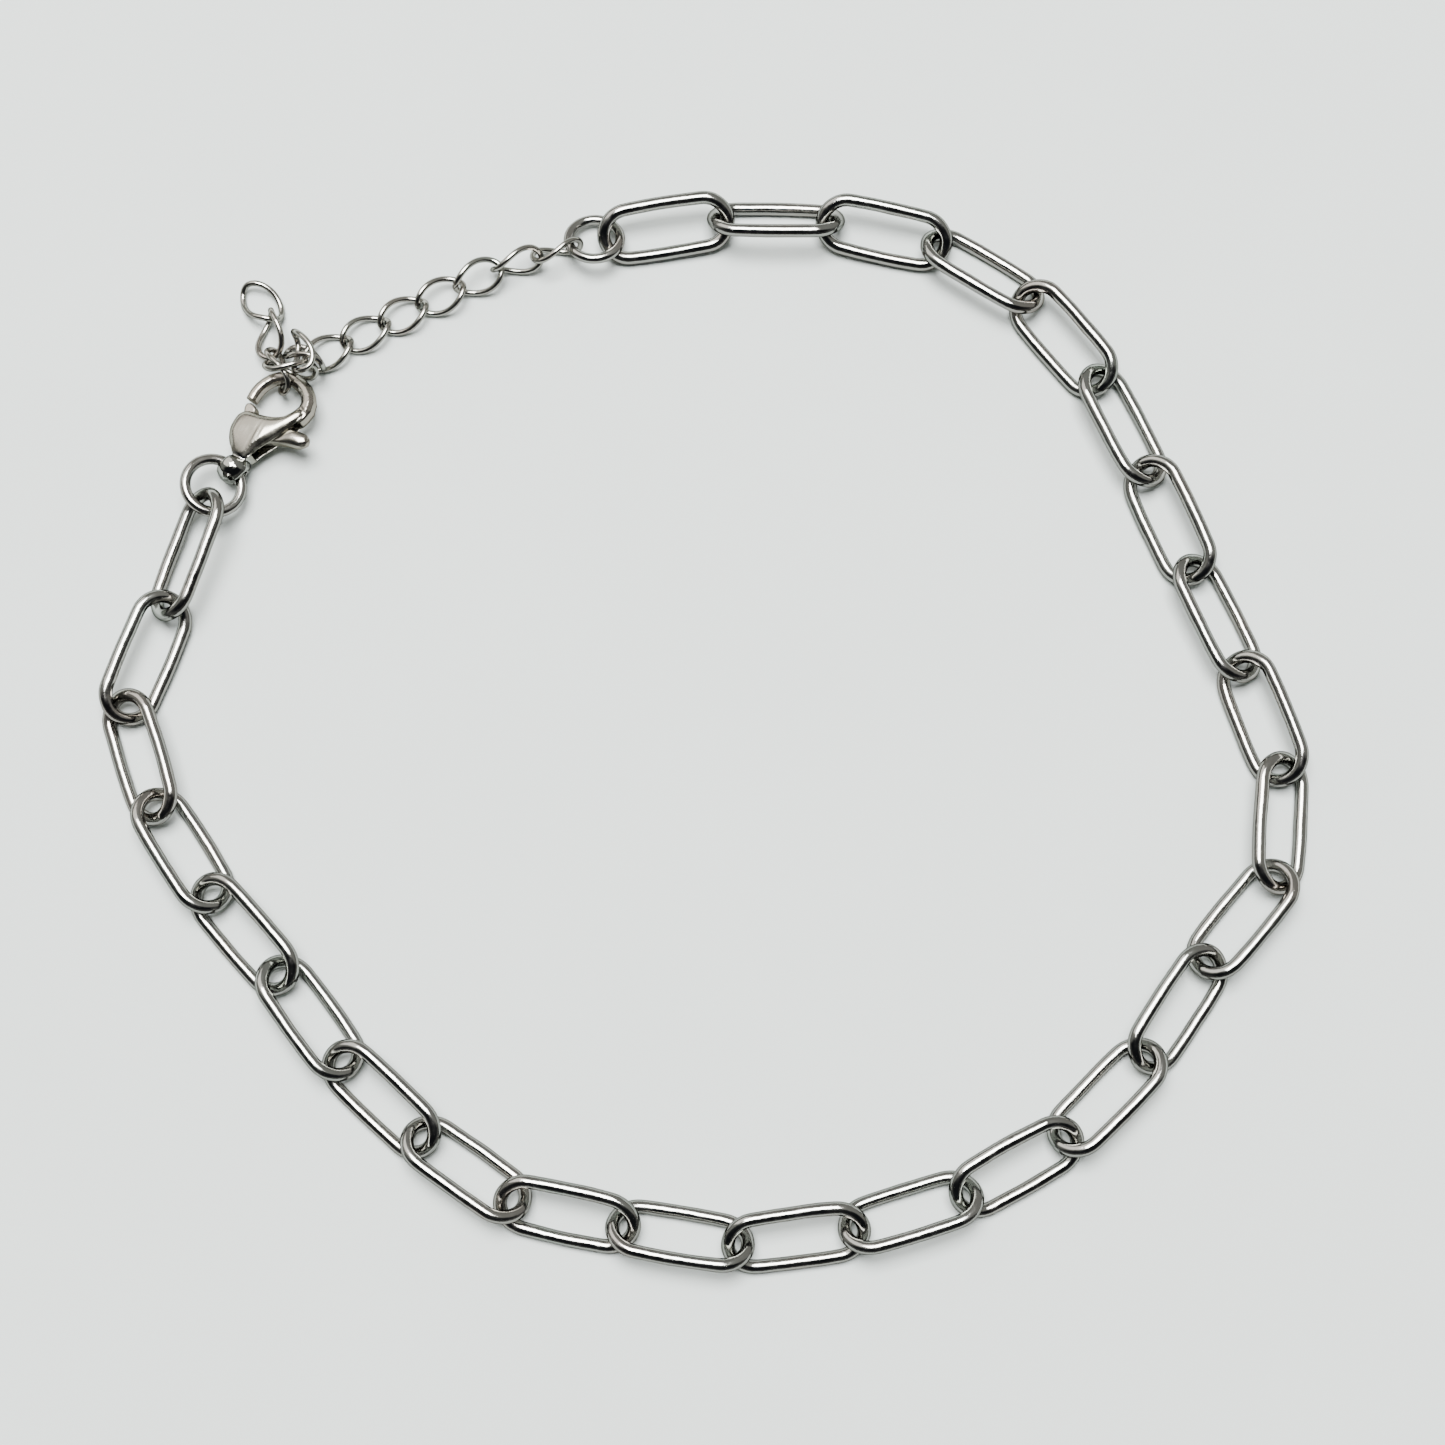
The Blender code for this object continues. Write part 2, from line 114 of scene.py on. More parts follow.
# %% Room light
SKY_GREY = (0.30, 0.30, 0.285, 1)
SKY_DARK = (0.012, 0.013, 0.016, 1)
SKY_EDGE_NEAR = -0.30
SKY_EDGE_FAR = 0.0
SKY_STRENGTH = 1.0
GLOW = 0.45
GLOW_TOP = 0.50
GLOW_LOW = 0.20

world = bpy.data.worlds.new("room")
world.use_nodes = True
bpy.context.scene.world = world
sky = world.node_tree
direction = add_node(sky, "ShaderNodeTexCoord").outputs["Generated"]
look = add_node(sky, "ShaderNodeSeparateXYZ", {0: direction}).outputs
back_light = add_node(
    sky, "ShaderNodeMapRange", {"Value": look["Y"], "From Min": SKY_EDGE_NEAR, "From Max": SKY_EDGE_FAR},
    interpolation_type="SMOOTHSTEP").outputs["Result"]
low_light = add_node(
    sky, "ShaderNodeMapRange",
    {"Value": look["Z"], "From Min": GLOW_TOP, "From Max": GLOW_LOW, "To Max": GLOW},
    interpolation_type="SMOOTHSTEP").outputs["Result"]
grey = mixed(sky, math_node(sky, "MAXIMUM", back_light, low_light), SKY_DARK, SKY_GREY)
background = sky.nodes["Background"]
sky.links.new(grey, background.inputs["Color"])
background.inputs["Strength"].default_value = SKY_STRENGTH
print("room light nodes:", len(sky.nodes))

# %% [markdown]
# One soft lamp high behind the loop draws the thin white line along every wire. The wider the lamp, the wider
# that line and the softer the shadows. A broad, weak and slightly warm panel at the left lights the cheek of
# the clasp, which would mirror the dark side of the room otherwise.

# %% Lamps
LAMP_PLACE = Vector((-0.05, 0.20, 0.97))
LAMP_SIZE = 0.58
LAMP_POWER = 29.0
LAMP_COLOUR = (1.0, 1.0, 0.99)
PANEL_PLACE = Vector((-0.49, 0.49, 0.72))
PANEL_SIZE = 0.75
PANEL_POWER = 2.9
PANEL_COLOUR = (1.0, 0.955, 0.91)


def add_lamp(name, place, size, power, colour):
    """Add a square soft lamp that faces the loop."""
    light = bpy.data.lights.new(name, "AREA")
    light.shape = "SQUARE"
    light.size = size
    light.energy = power
    light.color = colour
    lamp = bpy.data.objects.new(name, light)
    bpy.context.scene.collection.objects.link(lamp)
    lamp.location = place
    lamp.rotation_euler = (-place).to_track_quat("-Z", "Y").to_euler()
    print(name, "stands", round(place.length, 2), "m away")


add_lamp("lamp", LAMP_PLACE, LAMP_SIZE, LAMP_POWER, LAMP_COLOUR)
add_lamp("panel", PANEL_PLACE, PANEL_SIZE, PANEL_POWER, PANEL_COLOUR)

# %% [markdown]
# ## Table
# The table is a plain pale surface with the faintest blotches and grain, so that it doesn't look like an
# empty page. It is stage, not part of the anklet. It lies a hair below the solids, because the round wires
# reach a little lower than the faceted ones that they cover.

# %% Table
TABLE_SIZE = 24.0
TABLE_DROP = 0.1 * MM
TABLE_COLOUR = (0.762, 0.816, 0.797, 1)
TABLE_SHADE = (0.708, 0.76, 0.742, 1)
TABLE_ROUGHNESS = 0.9
BLOTCHES = {"Scale": 45.0, "Detail": 4.0}
GRAIN = {"Scale": 900.0, "Detail": 3.0}
GRAIN_STRENGTH = 0.25
GRAIN_HEIGHT = 0.06 * MM

table_top = bpy.data.materials.new("table_top")
table_top.use_nodes = True
tree = table_top.node_tree
shader = tree.nodes["Principled BSDF"]
shader.inputs["Roughness"].default_value = TABLE_ROUGHNESS
place = add_node(tree, "ShaderNodeTexCoord").outputs["Object"]
blotches = add_node(tree, "ShaderNodeTexNoise", {"Vector": place, **BLOTCHES}).outputs["Fac"]
tree.links.new(mixed(tree, blotches, TABLE_SHADE, TABLE_COLOUR), shader.inputs["Base Color"])
grain = add_node(tree, "ShaderNodeTexNoise", {"Vector": place, **GRAIN}).outputs["Fac"]
bump = add_node(
    tree, "ShaderNodeBump", {"Strength": GRAIN_STRENGTH, "Distance": GRAIN_HEIGHT, "Height": grain})
tree.links.new(bump.outputs[0], shader.inputs["Normal"])

half = TABLE_SIZE / 2
corners = [(x * half, y * half, -TABLE_DROP) for x, y in ((-1, -1), (1, -1), (1, 1), (-1, 1))]
table_mesh = bpy.data.meshes.new("table")
table_mesh.from_pydata(corners, [], [(0, 1, 2, 3)])
table_mesh.materials.append(table_top)
table = bpy.data.objects.new("table", table_mesh)
bpy.context.scene.collection.objects.link(table)
print("table lies", round(TABLE_DROP / MM, 2), "mm below the solids")

# %% [markdown]
# ## Polished steel
# Every piece is the same steel with small differences, so the finish is a node group: soft clouds of a
# bronze and a greenish tint, as handled steel shows, fine variation of the gloss, and a slight ripple that
# makes the highlights waver. The flanks are painted darker than the top: painted shade, standing in for the
# dark that real wires mirror along their sides. All of it follows Object coordinates and the surface's own
# direction, so nothing has to be unwrapped, and it stays the same from every side.

# %% Steel finish group
WARM_TINT = (0.56, 0.47, 0.42, 1)
COOL_TINT = (0.50, 0.57, 0.52, 1)
WARM_CLOUDS = {"From Min": 0.5, "From Max": 0.72}
COOL_CLOUDS = {"From Min": 0.45, "From Max": 0.3}
# Painted shade: where the surface turns from the top toward the sides, its colour is darkened.
PAINTED_SHADE_TILT = {"From Min": 0.60, "From Max": 0.86}
GLOSS_CLOUDS = {"From Min": 0.3, "From Max": 0.7}
FINE_CLOUDS = 6.0
CLOUD_DETAIL = 3.0
FINE_DETAIL = 2.0
RIPPLE_HEIGHT = 0.05 * MM
PAINTED_SHADE_BLACK = (0, 0, 0, 1)


def steel_group():
    """Return the node group that works out the colour with painted shade on the flanks, roughness and normal
    of polished steel.
    """
    group = bpy.data.node_groups.new("handled_steel", "ShaderNodeTree")
    face = group.interface
    for name, kind, value in (
            ("Shade", "NodeSocketColor", (0.6, 0.59, 0.57, 1)), ("Tint", "NodeSocketFloat", 0.5),
            ("Cloud Size", "NodeSocketFloat", 4 * MM), ("Gloss Low", "NodeSocketFloat", 0.08),
            ("Gloss High", "NodeSocketFloat", 0.2), ("Ripple", "NodeSocketFloat", 0.1),
            ("Painted Flank Shade", "NodeSocketFloat", 0.6)):
        face.new_socket(name, in_out="INPUT", socket_type=kind).default_value = value
    for name, kind in (
            ("Color", "NodeSocketColor"), ("Roughness", "NodeSocketFloat"), ("Normal", "NodeSocketVector")):
        face.new_socket(name, in_out="OUTPUT", socket_type=kind)
    given = add_node(group, "NodeGroupInput").outputs
    surface = add_node(group, "ShaderNodeTexCoord").outputs
    place = surface["Object"]
    scale = math_node(group, "DIVIDE", 1.0, given["Cloud Size"])
    clouds = add_node(
        group, "ShaderNodeTexNoise", {"Vector": place, "Scale": scale, "Detail": CLOUD_DETAIL}).outputs["Fac"]
    colour = given["Shade"]
    for tint, share in ((WARM_TINT, WARM_CLOUDS), (COOL_TINT, COOL_CLOUDS)):
        patch = add_node(group, "ShaderNodeMapRange", {"Value": clouds, **share}).outputs[0]
        colour = mixed(group, math_node(group, "MULTIPLY", patch, given["Tint"]), colour, tint)
    # Painted shade: the more the surface leans away from straight up, the more its colour is mixed toward
    # black.
    upward = add_node(group, "ShaderNodeSeparateXYZ", {0: surface["Normal"]}).outputs["Z"]
    painted_shade = add_node(
        group, "ShaderNodeMapRange", {"Value": upward, **PAINTED_SHADE_TILT, "To Min": given["Painted Flank Shade"], "To Max": 1.0},
        interpolation_type="SMOOTHSTEP").outputs[0]
    colour = mixed(group, painted_shade, PAINTED_SHADE_BLACK, colour)
    fine_scale = math_node(group, "MULTIPLY", scale, FINE_CLOUDS)
    fine_noise = {"Vector": place, "Scale": fine_scale, "Detail": FINE_DETAIL}
    fine = add_node(group, "ShaderNodeTexNoise", fine_noise).outputs["Fac"]
    gloss = add_node(
        group, "ShaderNodeMapRange",
        {"Value": fine, **GLOSS_CLOUDS, "To Min": given["Gloss Low"], "To Max": given["Gloss High"]})
    bump = add_node(
        group, "ShaderNodeBump", {"Strength": given["Ripple"], "Distance": RIPPLE_HEIGHT, "Height": fine})
    result = add_node(group, "NodeGroupOutput").inputs
    group.links.new(colour, result["Color"])
    group.links.new(gloss.outputs[0], result["Roughness"])
    group.links.new(bump.outputs[0], result["Normal"])
    return group


handled_steel = steel_group()
print("steel finish nodes:", len(handled_steel.nodes))

# %% [markdown]
# Each kind of piece gets its own settings of that finish. The drawn wire of the long links has the sharpest
# mirror and the most ripple, the cast clasp is softer and warmer, and its ball is polished brightest of all.
# Steel mirrors less light at a grazing angle than the plain metal shader gives, and the dim Specular Tint
# allows for that.

# %% Steel materials
EDGE_TINT = (0.2, 0.2, 0.2, 1)


def steel_material(name, shade, tint, cloud_size, gloss_low, gloss_high, ripple, painted_flank_shade):
    """Return one steel finish made from the shared group."""
    material = bpy.data.materials.new(name)
    material.use_nodes = True
    tree = material.node_tree
    shader = tree.nodes["Principled BSDF"]
    shader.inputs["Metallic"].default_value = 1.0
    shader.inputs["Specular Tint"].default_value = EDGE_TINT
    finish = add_node(
        tree, "ShaderNodeGroup",
        {"Shade": (*shade, 1), "Tint": tint, "Cloud Size": cloud_size, "Gloss Low": gloss_low,
         "Gloss High": gloss_high, "Ripple": ripple, "Painted Flank Shade": painted_flank_shade},
        node_tree=handled_steel)
    tree.links.new(finish.outputs["Color"], shader.inputs["Base Color"])
    tree.links.new(finish.outputs["Roughness"], shader.inputs["Roughness"])
    tree.links.new(finish.outputs["Normal"], shader.inputs["Normal"])
    return material


# The last setting of each finish says how dark its flanks are painted, as painted shade.
link_steel = steel_material(
    "link_steel", (0.457, 0.455, 0.428), tint=0.30, cloud_size=5 * MM, gloss_low=0.08, gloss_high=0.20,
    ripple=0.48, painted_flank_shade=0.47)
curb_steel = steel_material(
    "curb_steel", (0.53, 0.52, 0.475), tint=0.35, cloud_size=4 * MM, gloss_low=0.12, gloss_high=0.22,
    ripple=0.15, painted_flank_shade=0.47)
ring_steel = steel_material(
    "ring_steel", (0.50, 0.49, 0.46), tint=0.35, cloud_size=4 * MM, gloss_low=0.10, gloss_high=0.18,
    ripple=0.15, painted_flank_shade=0.48)
clasp_steel = steel_material(
    "clasp_steel", (0.395, 0.38, 0.328), tint=0.45, cloud_size=6 * MM, gloss_low=0.17, gloss_high=0.30,
    ripple=0.10, painted_flank_shade=0.6)
ball_steel = steel_material(
    "ball_steel", (0.46, 0.46, 0.43), tint=0.2, cloud_size=6 * MM, gloss_low=0.05, gloss_high=0.10,
    ripple=0.06, painted_flank_shade=0.6)
print("materials:", [material.name for material in bpy.data.materials])

# %% [markdown]
# ## Where each link lies
# A link is flat and longer than it is wide, so the three main directions of its solid say how it lies.
# The direction with the largest spread is its length and the smallest is its thickness. The solid comes
# as loose triangles, so a copy is merged before its points are counted.

# %% Read a link's place from its solid
MERGE = 0.005 * MM


def merged_points(node):
    """Return the points of a solid, each once."""
    work = bmesh.new()
    work.from_mesh(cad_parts[node].data)
    bmesh.ops.remove_doubles(work, verts=work.verts, dist=MERGE)
    points = np.array([vertex.co for vertex in work.verts])
    work.free()
    return points


def seat_of(node):
    """Return the middle of a link and the turn whose X runs along it and whose Z stands off its flat side."""
    points = merged_points(node)
    middle = points.mean(axis=0)
    directions = np.linalg.eigh(np.cov((points - middle).T))[1]
    along, across = Vector(directions[:, 2]), Vector(directions[:, 1])
    turn = Matrix((along, across, along.cross(across))).transposed().to_quaternion()
    return Vector(middle), turn


def seats_mesh(name, nodes):
    """Return a mesh with one point for each link, which carries the link's turn."""
    seats = [seat_of(node) for node in nodes]
    mesh = bpy.data.meshes.new(name)
    mesh.from_pydata([middle for middle, turn in seats], [], [])
    turns = mesh.attributes.new("turn", "QUATERNION", "POINT")
    turns.data.foreach_set("value", [part for middle, turn in seats for part in turn])
    return mesh


def names(stem, count):
    """Return numbered node names."""
    return [f"{stem}_{number:02d}" for number in range(1, count + 1)]


first_middle = seat_of("link_01")[0]
print("link_01 lies at", [round(part / MM, 1) for part in first_middle], "mm")


# %% [markdown]
# ## Links from Geometry Nodes
# One tree makes each kind of link. It draws the wire's centreline, gives it a round section, puts a copy
# on every seat and turns it as the seat says. Modelling one link and copying it with an array would do for a
# straight chain, but here each link lies its own way, and a tree also keeps every size in a named input. A
# little noise then bends each wire by a few hundredths of a millimetre, because links that are wound and
# tumbled are never exactly alike. The bend follows the place alone, so it comes out the same on each run.

# %% Shared parts of the link trees
SIDES = 16
WAVE = {"Scale": 260.0, "Detail": 1.0}
WAVE_DIRECTIONS = (1.0, 1.0, 0.2)


def thinned(tree, curve, spot, width, amount):
    """Return the curve with its wire a little thinner at one spot, where its ends were joined."""
    along = add_node(tree, "GeometryNodeSplineParameter").outputs["Factor"]
    away = math_node(tree, "DIVIDE", math_node(tree, "SUBTRACT", along, spot), width)
    dip = math_node(tree, "EXPONENT", math_node(tree, "MULTIPLY", math_node(tree, "POWER", away, 2.0), -1.0))
    radius = math_node(tree, "SUBTRACT", 1.0, math_node(tree, "MULTIPLY", dip, amount))
    return add_node(tree, "GeometryNodeSetCurveRadius", {"Curve": curve, "Radius": radius}).outputs[0]


def link_tree(name, sizes, centreline):
    """Return a tree with named sizes that wires the centreline and sets it on every seat."""
    tree = bpy.data.node_groups.new(name, "GeometryNodeTree")
    face = tree.interface
    face.new_socket("Seats", in_out="INPUT", socket_type="NodeSocketGeometry")
    for size, value in sizes.items():
        face.new_socket(size, in_out="INPUT", socket_type="NodeSocketFloat").default_value = value
    face.new_socket("Steel", in_out="INPUT", socket_type="NodeSocketMaterial")
    face.new_socket("Links", in_out="OUTPUT", socket_type="NodeSocketGeometry")
    given = add_node(tree, "NodeGroupInput").outputs
    line = centreline(tree, given)
    radius = math_node(tree, "DIVIDE", given["Wire"], 2.0)
    section = add_node(tree, "GeometryNodeCurvePrimitiveCircle", {"Resolution": SIDES, "Radius": radius})
    wire = add_node(tree, "GeometryNodeCurveToMesh", {"Curve": line, "Profile Curve": section.outputs[0]})
    turn = add_node(tree, "GeometryNodeInputNamedAttribute", {"Name": "turn"}, data_type="QUATERNION")
    set_down = add_node(
        tree, "GeometryNodeInstanceOnPoints",
        {"Points": given["Seats"], "Instance": wire.outputs[0], "Rotation": turn.outputs[0]})
    real = add_node(tree, "GeometryNodeRealizeInstances", {0: set_down.outputs[0]})
    place = add_node(tree, "GeometryNodeInputPosition").outputs[0]
    noise = add_node(tree, "ShaderNodeTexNoise", {"Vector": place, **WAVE})
    centred = vector_node(tree, "SUBTRACT", noise.outputs["Color"], (0.5, 0.5, 0.5))
    level = vector_node(tree, "MULTIPLY", centred, WAVE_DIRECTIONS)
    bend = add_node(tree, "ShaderNodeVectorMath", {0: level, "Scale": given["Waviness"]}, operation="SCALE")
    bent = add_node(tree, "GeometryNodeSetPosition", {"Geometry": real.outputs[0], "Offset": bend.outputs[0]})
    smooth = add_node(tree, "GeometryNodeSetShadeSmooth", {"Geometry": bent.outputs[0]})
    steel = add_node(
        tree, "GeometryNodeSetMaterial", {"Geometry": smooth.outputs[0], "Material": given["Steel"]})
    result = add_node(tree, "NodeGroupOutput")
    tree.links.new(steel.outputs[0], result.inputs[0])
    print(name, "tree has", len(tree.nodes), "nodes")
    return tree


def grown(name, seats, tree, values):
    """Run a tree over the seats and return the result as a plain mesh object."""
    holder = bpy.data.objects.new(name, seats)
    bpy.context.scene.collection.objects.link(holder)
    modifier = holder.modifiers.new("links", "NODES")
    modifier.node_group = tree
    for item in tree.interface.items_tree:
        if item.in_out == "INPUT" and item.name in values:
            modifier[item.identifier] = values[item.name]
    bpy.context.view_layer.update()
    mesh = bpy.data.meshes.new_from_object(holder.evaluated_get(bpy.context.evaluated_depsgraph_get()))
    holder.modifiers.clear()
    holder.data = mesh
    mesh.name = name
    print(name, "has", len(mesh.polygons), "faces")
    return holder


# %% [markdown]
# ### Paperclip links
# The real link is a piece of round wire bent to a long oval and closed. A rectangle with its corners rounded
# off by half its width is that line. The sides of a bent link are never quite straight, so they bow a little
# in the middle and draw in toward the ends, and the wire thins where its ends meet. The evenly spaced points
# let the bow and the noise bend the long sides smoothly.

# %% Paperclip chain
LINK_WIRE = 1.1 * MM
LINK_LENGTH = 11.7 * MM
LINK_WIDTH = 5.1 * MM
LINK_BOW = 0.055
LINK_WAVINESS = 0.16 * MM
LINK_STEPS = 110
END_ROUNDING = 0.499
END_STEPS = 12
SEAM_SPOT = 0.22
SEAM_LENGTH = 0.008
SEAM_DEPTH = 0.09


def paperclip_line(tree, given):
    """Return the centreline of a paperclip link."""
    length = math_node(tree, "SUBTRACT", given["Length"], given["Wire"])
    width = math_node(tree, "SUBTRACT", given["Width"], given["Wire"])
    box = add_node(tree, "GeometryNodeCurvePrimitiveQuadrilateral", {"Width": length, "Height": width})
    radius = math_node(tree, "MULTIPLY", width, END_ROUNDING)
    rounded = add_node(
        tree, "GeometryNodeFilletCurve", {"Curve": box.outputs[0], "Radius": radius, "Count": END_STEPS},
        mode="POLY")
    even = add_node(tree, "GeometryNodeResampleCurve", {"Curve": rounded.outputs[0], "Count": LINK_STEPS})
    spot = add_node(tree, "GeometryNodeInputPosition").outputs[0]
    flat = add_node(tree, "ShaderNodeSeparateXYZ", {0: spot}).outputs
    reach = math_node(tree, "DIVIDE", flat["X"], math_node(tree, "DIVIDE", length, 2.0))
    drawn_in = math_node(tree, "MULTIPLY", math_node(tree, "POWER", reach, 2.0), 2.0)
    swell = math_node(tree, "SUBTRACT", 1.0, drawn_in)
    push = math_node(tree, "MULTIPLY", math_node(tree, "MULTIPLY", flat["Y"], given["Bow"]), swell)
    offset = add_node(tree, "ShaderNodeCombineXYZ", {"Y": push}).outputs[0]
    bowed = add_node(tree, "GeometryNodeSetPosition", {"Geometry": even.outputs[0], "Offset": offset})
    return thinned(tree, bowed.outputs[0], SEAM_SPOT, SEAM_LENGTH, given["Seam"])


link_nodes = names("link", 26)
paperclip_tree = link_tree(
    "paperclip_links",
    {"Length": LINK_LENGTH, "Width": LINK_WIDTH, "Wire": LINK_WIRE, "Bow": LINK_BOW, "Seam": SEAM_DEPTH,
     "Waviness": LINK_WAVINESS},
    paperclip_line)
link_seats = seats_mesh("link_seats", link_nodes)
chain = grown("paperclip_chain", link_seats, paperclip_tree, {"Steel": link_steel})
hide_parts(*link_nodes)
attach(chain, "anklet")

# %% [markdown]
# ### Curb links of the extender
# Each is an oval twisted along its length, which lets the fine chain lie flat. The line is a circle,
# stretched to the oval and then turned about its long axis by an angle that grows toward the ends.

# %% Extender chain
CURB_WIRE = 0.5 * MM
CURB_LENGTH = 4.7 * MM
CURB_WIDTH = 3.2 * MM
CURB_TWIST = math.radians(-80)
CURB_WAVINESS = 0.03 * MM
CURB_STEPS = 56


def curb_line(tree, given):
    """Return the centreline of a twisted oval link."""
    circle = add_node(tree, "GeometryNodeCurvePrimitiveCircle", {"Resolution": CURB_STEPS, "Radius": 1.0})
    spot = add_node(tree, "GeometryNodeInputPosition").outputs[0]
    flat = add_node(tree, "ShaderNodeSeparateXYZ", {0: spot}).outputs
    half_length = math_node(tree, "DIVIDE", math_node(tree, "SUBTRACT", given["Length"], given["Wire"]), 2.0)
    half_width = math_node(tree, "DIVIDE", math_node(tree, "SUBTRACT", given["Width"], given["Wire"]), 2.0)
    turn = math_node(tree, "MULTIPLY", math_node(tree, "DIVIDE", given["Twist"], 2.0), flat["X"])
    across = math_node(tree, "MULTIPLY", half_width, flat["Y"])
    twisted = add_node(tree, "ShaderNodeCombineXYZ", {
        "X": math_node(tree, "MULTIPLY", half_length, flat["X"]),
        "Y": math_node(tree, "MULTIPLY", across, math_node(tree, "COSINE", turn)),
        "Z": math_node(tree, "MULTIPLY", across, math_node(tree, "SINE", turn))})
    oval = add_node(
        tree, "GeometryNodeSetPosition", {"Geometry": circle.outputs[0], "Position": twisted.outputs[0]})
    return oval.outputs[0]


curb_nodes = names("extender", 13)
curb_tree = link_tree(
    "curb_links",
    {"Length": CURB_LENGTH, "Width": CURB_WIDTH, "Wire": CURB_WIRE, "Twist": CURB_TWIST,
     "Waviness": CURB_WAVINESS},
    curb_line)
curb_seats = seats_mesh("curb_seats", curb_nodes)
extender = grown("extender_chain", curb_seats, curb_tree, {"Steel": curb_steel})
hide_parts(*curb_nodes)
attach(extender, "anklet")

# %% [markdown]
# ### Jump rings
# A jump ring is one turn of wire, cut from a coil and bent shut, so a plain circle draws it. A small dip in
# the wire shows the cut. The two rings differ in size, so each gets its own run of the tree.

# %% Jump rings
RINGS = {
    "jump_ring_clasp": {"Diameter": 5.5 * MM, "Wire": 0.9 * MM},
    "jump_ring_extender": {"Diameter": 5.2 * MM, "Wire": 0.85 * MM}}
RING_WAVINESS = 0.05 * MM
RING_STEPS = 96
CUT_SPOT = 0.62
CUT_LENGTH = 0.007
CUT_DEPTH = 0.22


def ring_line(tree, given):
    """Return the centreline of a round ring."""
    radius = math_node(tree, "DIVIDE", math_node(tree, "SUBTRACT", given["Diameter"], given["Wire"]), 2.0)
    circle = add_node(tree, "GeometryNodeCurvePrimitiveCircle", {"Resolution": RING_STEPS, "Radius": radius})
    return thinned(tree, circle.outputs[0], CUT_SPOT, CUT_LENGTH, given["Cut"])


ring_tree = link_tree(
    "jump_ring", {**RINGS["jump_ring_clasp"], "Cut": CUT_DEPTH, "Waviness": RING_WAVINESS}, ring_line)
for ring_node, sizes in RINGS.items():
    ring_seat = seats_mesh(ring_node + "_seat", [ring_node])
    ring = grown(ring_node + "_wire", ring_seat, ring_tree, {**sizes, "Steel": ring_steel})
    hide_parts(ring_node)
    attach(ring, "anklet")

# %% [markdown]
# ## Lobster clasp
# The clasp is a small casting, so its corners are soft and its cheeks swell like two halves of a drop.
# The solid has the right form but flat cheeks. A voxel remesh gives it an even skin, and a smoothing that
# pushes back as much as it pulls rounds the facets off without thinning the metal.

# %% Even skin over a solid
SKIN_VOXEL = 0.07 * MM
SKIN_MERGE = 0.0005 * MM
PULL_AND_PUSH = (0.5, -0.53)


def evened(points, edges, rounds):
    """Return points smoothed along the edges, each pull followed by a slightly larger push back."""
    count = np.bincount(edges.ravel(), minlength=len(points))[:, None]
    for pull in PULL_AND_PUSH * rounds:
        total = np.zeros_like(points)
        np.add.at(total, edges[:, 0], points[edges[:, 1]])
        np.add.at(total, edges[:, 1], points[edges[:, 0]])
        points = points + pull * (total / count - points)
    return points


def even_skin(name, node, voxel):
    """Return an object with an even quad skin over a solid, and its points and edges."""
    work = bmesh.new()
    work.from_mesh(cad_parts[node].data)
    bmesh.ops.remove_doubles(work, verts=work.verts, dist=SKIN_MERGE)
    mesh = bpy.data.meshes.new(name)
    work.to_mesh(mesh)
    work.free()
    piece = bpy.data.objects.new(name, mesh)
    bpy.context.scene.collection.objects.link(piece)
    remesh = piece.modifiers.new("skin", "REMESH")
    remesh.mode = "VOXEL"
    remesh.voxel_size = voxel
    bpy.context.view_layer.update()
    skin = bpy.data.meshes.new_from_object(piece.evaluated_get(bpy.context.evaluated_depsgraph_get()))
    piece.modifiers.clear()
    piece.data = skin
    points = np.array([vertex.co for vertex in skin.vertices])
    edges = np.array([edge.vertices[:] for edge in skin.edges])
    return piece, points, edges


def finished(piece, points, material):
    """Put the points back into the skin, smooth its shading and give it its steel."""
    piece.data.vertices.foreach_set("co", points.ravel())
    piece.data.materials.clear()
    piece.data.materials.append(material)
    piece.data.shade_smooth()
    piece.data.update()
    print(piece.name, "has", len(piece.data.polygons), "faces")


# %% [markdown]
# The swelling of a cheek is the shape of a soap film blown out of its outline: highest in the middle,
# with no ridge anywhere, and steep only at the rim. Averaging a grid again and again inside the outline
# finds that film. The square root makes its rim round. Sculpting could give the same swell, but a film
# follows from the outline alone and comes out the same each time. Places are shares of the clasp's length.

# %% Swelling of a cheek
CLASP_SPOT = Vector((-38.776, 20.415, 1.687)) * MM
CLASP_YAW = math.radians(60.6)
CLASP_ROLL = math.radians(12)
CLASP_LENGTH = 10.4 * MM
CHEEK_OUTLINE = np.array([
    (0.085, -0.062), (0.20, -0.120), (0.37, -0.212), (0.52, -0.275), (0.62, -0.303), (0.655, -0.265),
    (0.60, -0.205), (0.545, -0.165), (0.500, -0.080), (0.475, 0.020), (0.462, 0.120), (0.425, 0.175),
    (0.34, 0.195), (0.23, 0.170), (0.14, 0.105), (0.085, 0.060)])
FILM_STEP = 0.005
FILM_MARGIN = 4 * FILM_STEP
FILM_ROUNDS = 2500


def inside_outline(points, outline):
    """Return which points lie inside a closed outline."""
    inside = np.zeros(len(points), bool)
    for (x0, y0), (x1, y1) in zip(outline, np.roll(outline, -1, axis=0)):
        crosses = (y0 > points[:, 1]) != (y1 > points[:, 1])
        at = x0 + (points[:, 1] - y0) * (x1 - x0) / np.where(y1 == y0, 1, y1 - y0)
        inside ^= crosses & (points[:, 0] < at)
    return inside


